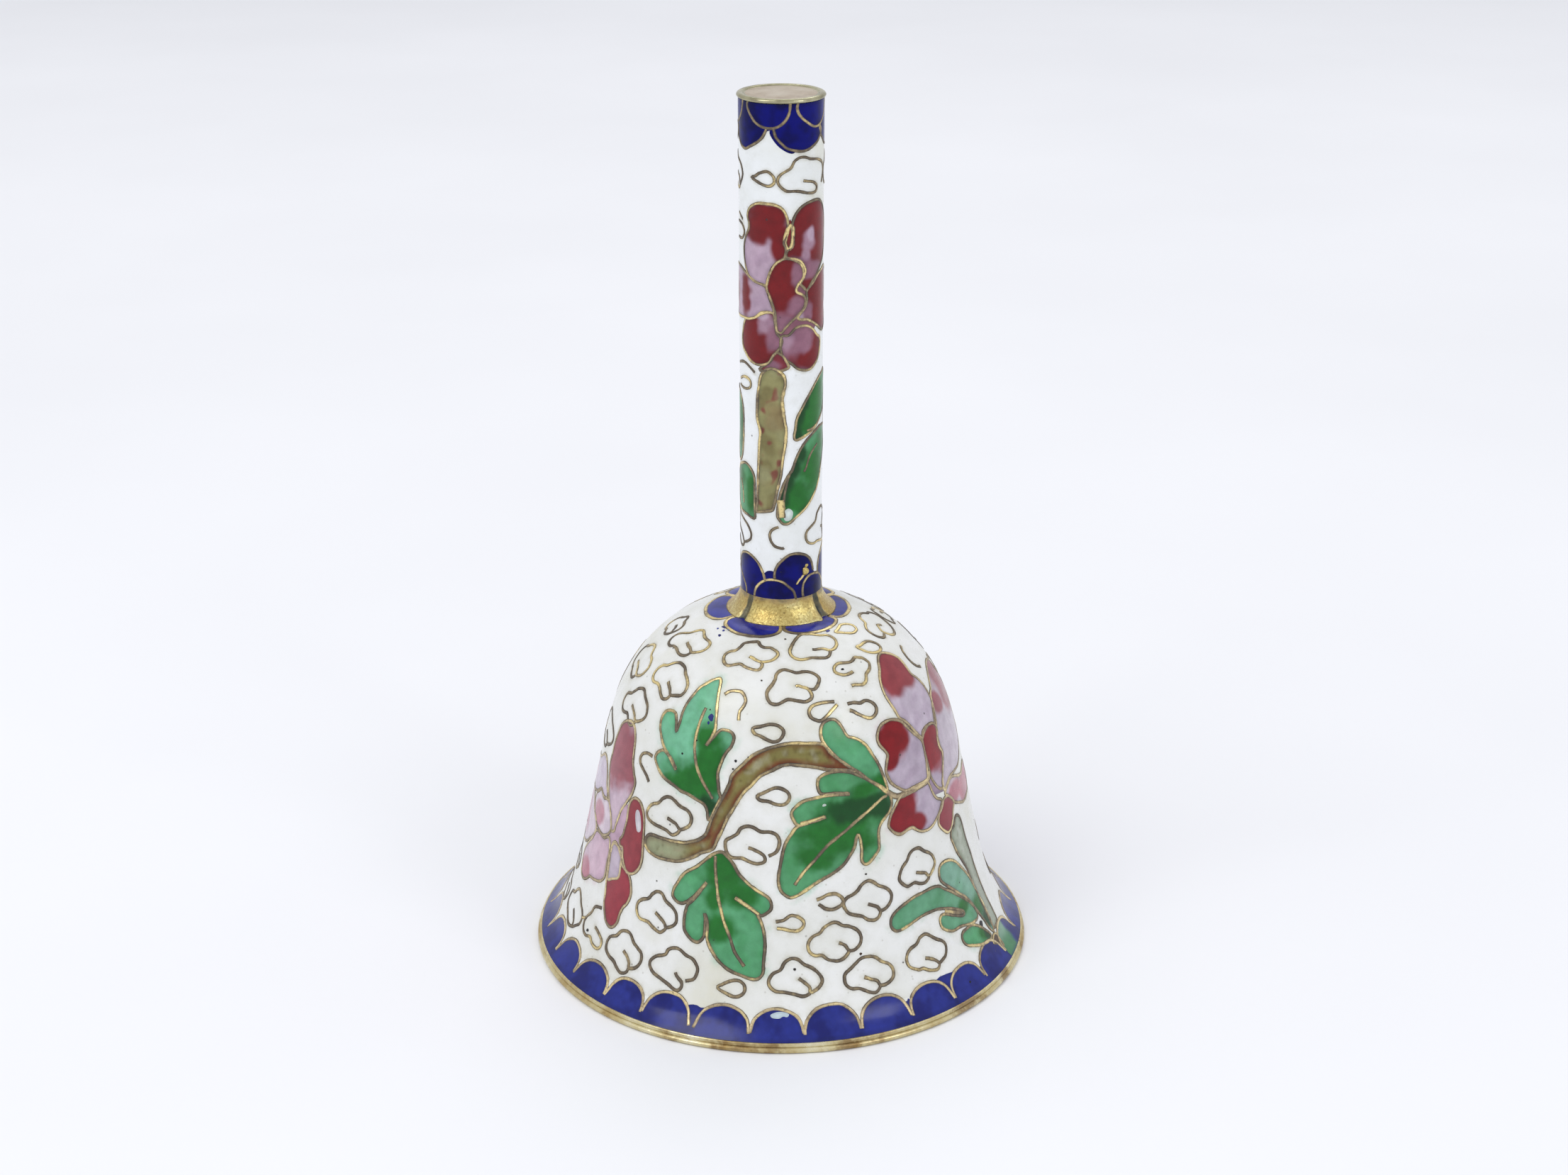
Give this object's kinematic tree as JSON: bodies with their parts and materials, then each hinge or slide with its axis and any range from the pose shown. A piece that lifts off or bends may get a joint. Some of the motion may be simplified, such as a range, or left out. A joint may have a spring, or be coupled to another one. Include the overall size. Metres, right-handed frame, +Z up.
{
  "type": "enamelled hand bell",
  "caption": "Small cloisonne-enamelled hand bell: flared metal cup on a long enamelled tube handle, with a swivelling stirrup and a free-swinging clapper inside.",
  "frame": {"origin": "centre of the plane that the bell's lip rests on", "axes": "+Z up the handle's axis, away from the mouth; -Y is the side seen in front"},
  "size_m": [0.064, 0.064, 0.11],
  "materials": {
    "cup_metal": "satin",
    "enamel_white": "gloss",
    "enamel_blue": "gloss",
    "enamel_inner": "gloss",
    "brass_rim": "satin",
    "brass_cap": "satin",
    "gilt_collar": "satin",
    "brass_fittings": "satin",
    "steel_fittings": "satin",
    "cloison_wire": "satin",
    "enamel_red": "gloss",
    "enamel_green": "gloss",
    "enamel_olive": "gloss"
  },
  "bodies": {
    "bell": {"bell_shell": "cup_metal", "body_enamel": "enamel_white", "lip_border_enamel": "enamel_blue", "crown_rosette_enamel": "enamel_blue", "inner_enamel": "enamel_inner", "lip_rim": "brass_rim", "crown_bush": "brass_fittings", "handle_collar": "gilt_collar", "handle_tube": "cup_metal", "handle_enamel": "enamel_white", "handle_lower_border_enamel": "enamel_blue", "handle_upper_border_enamel": "enamel_blue", "handle_cap": "brass_cap"},
    "swivel": {"swivel_stirrup": "steel_fittings", "swivel_washer": "brass_fittings", "clapper_pin": "steel_fittings"},
    "clapper": {"clapper_rod": "steel_fittings", "clapper_ball": "brass_fittings"}
  },
  "joints": [
    {"name": "swivel_turn", "type": "hinge", "parent": "bell", "child": "swivel", "pos_m": [0, 0, 0.0445], "axis": [0, 0, 1], "continuous": true},
    {"name": "clapper_swing", "type": "hinge", "parent": "swivel", "child": "clapper", "pos_m": [0, 0, 0.0386], "axis": [1, 0, 0], "range_deg": [-39.5, 39.5]}
  ]
}
